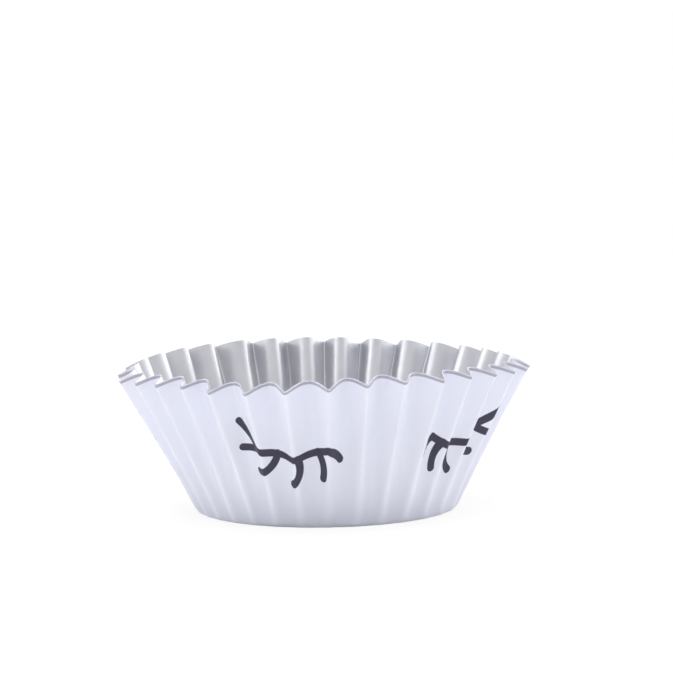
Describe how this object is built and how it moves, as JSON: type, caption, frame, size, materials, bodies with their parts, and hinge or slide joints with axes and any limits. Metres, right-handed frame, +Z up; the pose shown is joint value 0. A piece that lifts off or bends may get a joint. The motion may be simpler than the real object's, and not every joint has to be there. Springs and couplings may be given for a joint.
{
  "type": "cupcake liner",
  "caption": "Round pleated paper cup with a flat base and an open, wavy-edged top, pressed from one sheet, to hold a cupcake while it bakes and is served.",
  "frame": {"origin": "centre of the flat base, on its underside", "axes": "+Z up along the cup towards its open top, -Y towards the front, where the printed lashes are"},
  "size_m": [0.0786, 0.0752, 0.0291],
  "materials": {
    "coated_paper": "cool white satin paper outside with dark grey printed lashes, bare foil lining inside"
  },
  "bodies": {
    "root": {"liner": "coated_paper"}
  },
  "joints": []
}
